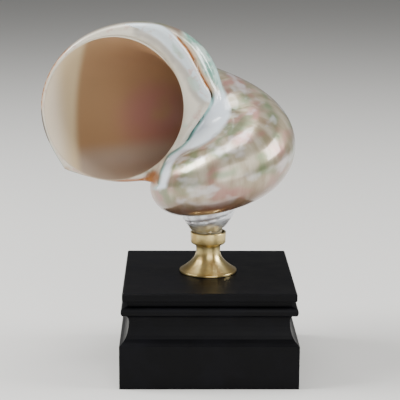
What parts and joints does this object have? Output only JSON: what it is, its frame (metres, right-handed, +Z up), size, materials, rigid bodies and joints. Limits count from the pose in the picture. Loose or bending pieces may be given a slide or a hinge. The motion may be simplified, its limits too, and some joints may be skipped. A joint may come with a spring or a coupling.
{
  "type": "turban shell on stand",
  "caption": "Polished pearly turban shell standing on its tip in a turned brass cup, on a square moulded plinth of black wood.",
  "frame": {"origin": "middle of the plinth's underside", "axes": "+Z up along the brass cup's axis, -Y towards the side that the shell's mouth faces, -X towards the outer lip"},
  "size_m": [0.1092, 0.0849, 0.1525],
  "materials": {
    "nacre": "polished mother-of-pearl",
    "brass": "satin, aged",
    "black_wood": "satin black paint"
  },
  "bodies": {
    "root": {"shell": "nacre", "brass_cup": "brass", "plinth": "black_wood"}
  },
  "joints": []
}
